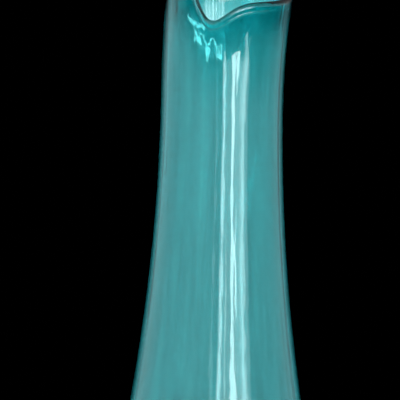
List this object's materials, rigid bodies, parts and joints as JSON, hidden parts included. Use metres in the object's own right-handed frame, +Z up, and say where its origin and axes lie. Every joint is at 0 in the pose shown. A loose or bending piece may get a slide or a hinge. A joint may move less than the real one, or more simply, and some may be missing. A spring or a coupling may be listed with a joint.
{
  "type": "glass vase",
  "caption": "Tall hand blown glass vase: slim neck with a flared, wavy lip over a low round body on a disc foot.",
  "frame": {"origin": "centre of the foot's resting ring, on the surface that the vase stands on", "axes": "+Z up along the axis of the neck; -Y is the front, where the lip's lowest dip stands"},
  "size_m": [0.13, 0.13, 0.3993],
  "materials": {
    "casing_glass": "gloss",
    "teal_glass": "gloss",
    "deep_teal_glass": "gloss",
    "foot_glass": "gloss",
    "punty_glass": "satin"
  },
  "bodies": {
    "root": {"clear_casing": "casing_glass", "colour_bubble": "teal_glass", "lip_wrap": "deep_teal_glass", "foot_disc": "foot_glass", "pontil_button": "punty_glass"}
  },
  "joints": []
}
